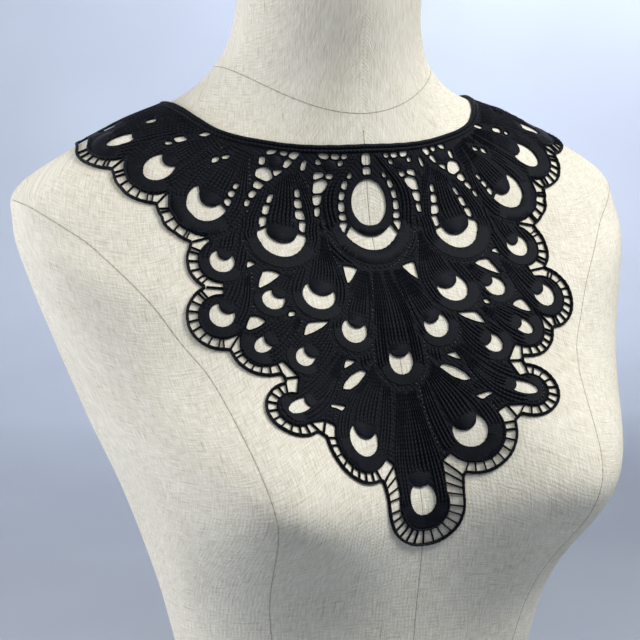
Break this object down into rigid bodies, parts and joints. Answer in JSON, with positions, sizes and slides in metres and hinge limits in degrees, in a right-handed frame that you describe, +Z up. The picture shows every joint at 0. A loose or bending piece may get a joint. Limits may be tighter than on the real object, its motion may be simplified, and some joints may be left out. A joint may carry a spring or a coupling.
{
  "type": "black lace bib collar on a limbless dress form",
  "caption": "Corded black lace bib collar with open plume motifs and a scalloped ladder edge, laid over the shoulders and chest of a limbless linen dress form.",
  "frame": {"origin": "centre of the bounding box on the flat base that the form stands on", "axes": "+Z up, the front of the form and the collar face -Y, +X is the wearer's left"},
  "size_m": [0.3664, 0.2348, 0.57],
  "materials": {
    "form_linen": "matt slubby weave",
    "field_thread": "satin stitch, slight sheen",
    "edge_thread": "corded thread",
    "band_thread": "corded thread"
  },
  "bodies": {
    "root": {"dress_form": "form_linen", "lace_field": "field_thread", "scallop_edge": "edge_thread", "neck_band": "band_thread"}
  },
  "joints": []
}
